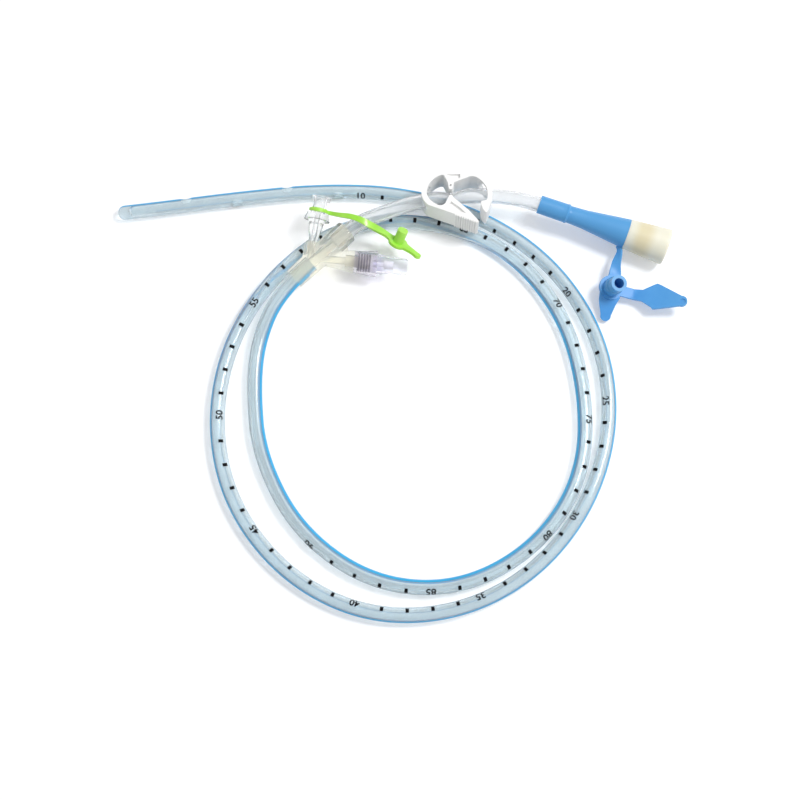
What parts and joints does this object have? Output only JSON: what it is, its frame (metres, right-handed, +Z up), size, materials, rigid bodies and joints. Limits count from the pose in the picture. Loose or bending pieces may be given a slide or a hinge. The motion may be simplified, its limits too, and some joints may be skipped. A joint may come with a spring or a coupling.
{
  "type": "nasogastric tube",
  "caption": "Loosely coiled clear tube with side eyes and depth marks, a three-way manifold, capped vent port, pinch clamp and drain funnel with tethered stopper.",
  "frame": {"origin": "middle of the coil's footprint, on the surface that it lies on", "axes": "+Z up from the surface; +X from the closed tip towards the drain funnel; +Y away from the viewer"},
  "size_m": [0.2321, 0.1824, 0.018],
  "materials": {
    "clear_tube": "soft clear tubing with a blue line",
    "cream_moulding": "translucent cream moulding",
    "clear_rigid": "clear rigid plastic",
    "lime": "lime elastomer",
    "smoky_rigid": "grey-violet transparent plastic",
    "violet_clear": "clear plastic with a violet-blue flange",
    "white_moulding": "white moulded plastic",
    "clear_soft": "soft clear tubing",
    "sky_blue": "satin sky blue elastomer",
    "ivory": "soft ivory elastomer"
  },
  "bodies": {
    "root": {"main_tube": "clear_tube", "manifold": "cream_moulding", "vent_port": "clear_rigid", "vent_cap": "lime", "hub_spigot": "clear_rigid", "lock_collar": "smoky_rigid", "port_barrel": "violet_clear", "valve_nozzle": "white_moulding", "valve_sleeve": "white_moulding", "drain_tube": "clear_soft", "pinch_clamp": "white_moulding", "drain_funnel": "sky_blue", "funnel_mouth": "ivory"}
  },
  "joints": []
}
